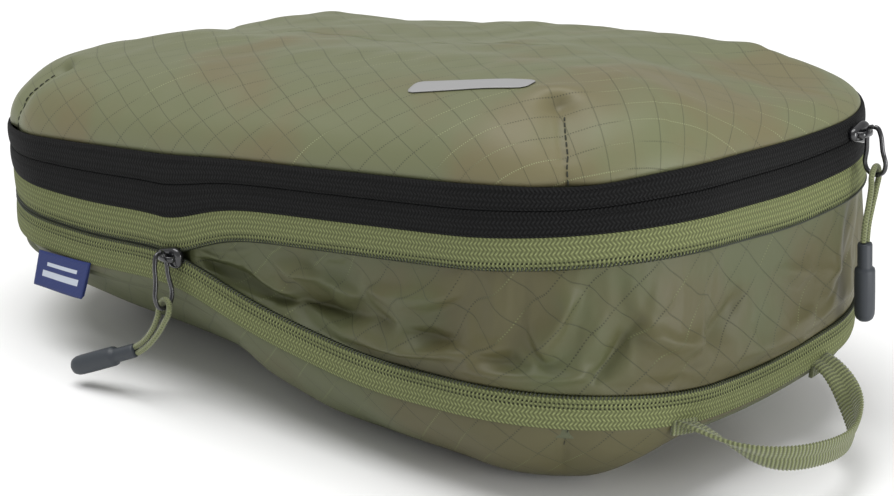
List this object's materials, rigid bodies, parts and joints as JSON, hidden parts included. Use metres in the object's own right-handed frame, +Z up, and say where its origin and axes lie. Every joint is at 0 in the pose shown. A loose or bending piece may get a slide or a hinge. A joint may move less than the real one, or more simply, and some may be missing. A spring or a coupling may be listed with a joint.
{
  "type": "packing cube",
  "caption": "Soft rectangular travel packing cube with a zipped lid, a compression zipper over a wedge gusset, cord zipper pulls and a webbing grab handle.",
  "frame": {"origin": "centre of the flat bottom of the pan, on the surface the cube stands on", "axes": "+Z up out of the pan; +X along the length towards the grab handle; -Y is the long front with the compression slider, and the lid hinges at +Y"},
  "size_m": [0.4052, 0.2445, 0.1561],
  "materials": {
    "ripstop": "satin",
    "green_tape": "matte",
    "green_coil": "satin",
    "black_tape": "matte",
    "black_coil": "satin",
    "binding": "matte",
    "label": "satin",
    "reflective": "satin",
    "moulded": "matte",
    "black_metal": "gloss"
  },
  "bodies": {
    "base": {"base_pan": "ripstop", "base_seam_binding": "binding", "lower_zip_tape": "green_tape", "lower_zip_coil": "green_coil", "side_label": "label", "gusset_panel": "ripstop", "handle_anchor_front": "green_tape", "handle_anchor_back": "green_tape"},
    "frame": {"upper_zip_coil": "green_coil", "upper_zip_tape": "green_tape", "main_zip_lower_tape": "black_tape", "main_zip_lower_coil": "black_coil", "hinge_panel_frame_half": "ripstop", "frame_seam_binding": "binding"},
    "lid": {"main_zip_upper_coil": "black_coil", "main_zip_upper_tape": "black_tape", "hinge_panel_lid_half": "ripstop", "lid_panel": "ripstop", "lid_seam_binding": "binding", "lid_reflective_bar": "reflective"},
    "compression_slider": {"compression_slider_body": "black_metal", "compression_slider_bridge": "black_metal"},
    "compression_pull": {"compression_pull_wire": "black_metal", "compression_pull_cord": "green_tape", "compression_pull_grip": "moulded"},
    "main_slider": {"main_slider_body": "black_metal", "main_slider_bridge": "black_metal"},
    "main_pull": {"main_pull_wire": "black_metal", "main_pull_cord": "green_tape", "main_pull_grip": "moulded"},
    "handle": {"grab_handle": "green_tape"}
  },
  "joints": [
    {"name": "compression", "type": "hinge", "parent": "base", "child": "frame", "pos_m": [-0.18, 0, 0.05165], "axis": [0, 1, 0], "range_deg": [0, 7.6], "deforming": ["gusset_panel"]},
    {"name": "lid_hinge", "type": "hinge", "parent": "frame", "child": "lid", "pos_m": [-0.00465, 0.1096, 0.09845], "axis": [-0.9912, 0, -0.1323], "range_deg": [0, 170]},
    {"name": "compression_slide", "type": "slide", "parent": "base", "child": "compression_slider", "axis": [0.998, 0, -0.064], "range_m": [0, 0.156]},
    {"name": "compression_pull_swing", "type": "hinge", "parent": "compression_slider", "child": "compression_pull", "pos_m": [-0.032, -0.12216, 0.06152], "axis": [-1, 0, 0], "range_deg": [0, 120]},
    {"name": "main_slide", "type": "slide", "parent": "frame", "child": "main_slider", "axis": [0, -1, 0], "range_m": [0, 0.085]},
    {"name": "main_pull_swing", "type": "hinge", "parent": "main_slider", "child": "main_pull", "pos_m": [0.18502, 0.052, 0.12376], "axis": [0, -1, 0], "range_deg": [0, 150]},
    {"name": "handle_swing", "type": "hinge", "parent": "base", "child": "handle", "pos_m": [0.1884, -0.012, 0.035], "axis": [0, 1, 0], "range_deg": [-110, 30]}
  ],
  "couplings": [
    {"joint": "compression_slide", "follows": "compression", "m_per_rad": 1.1634}
  ]
}
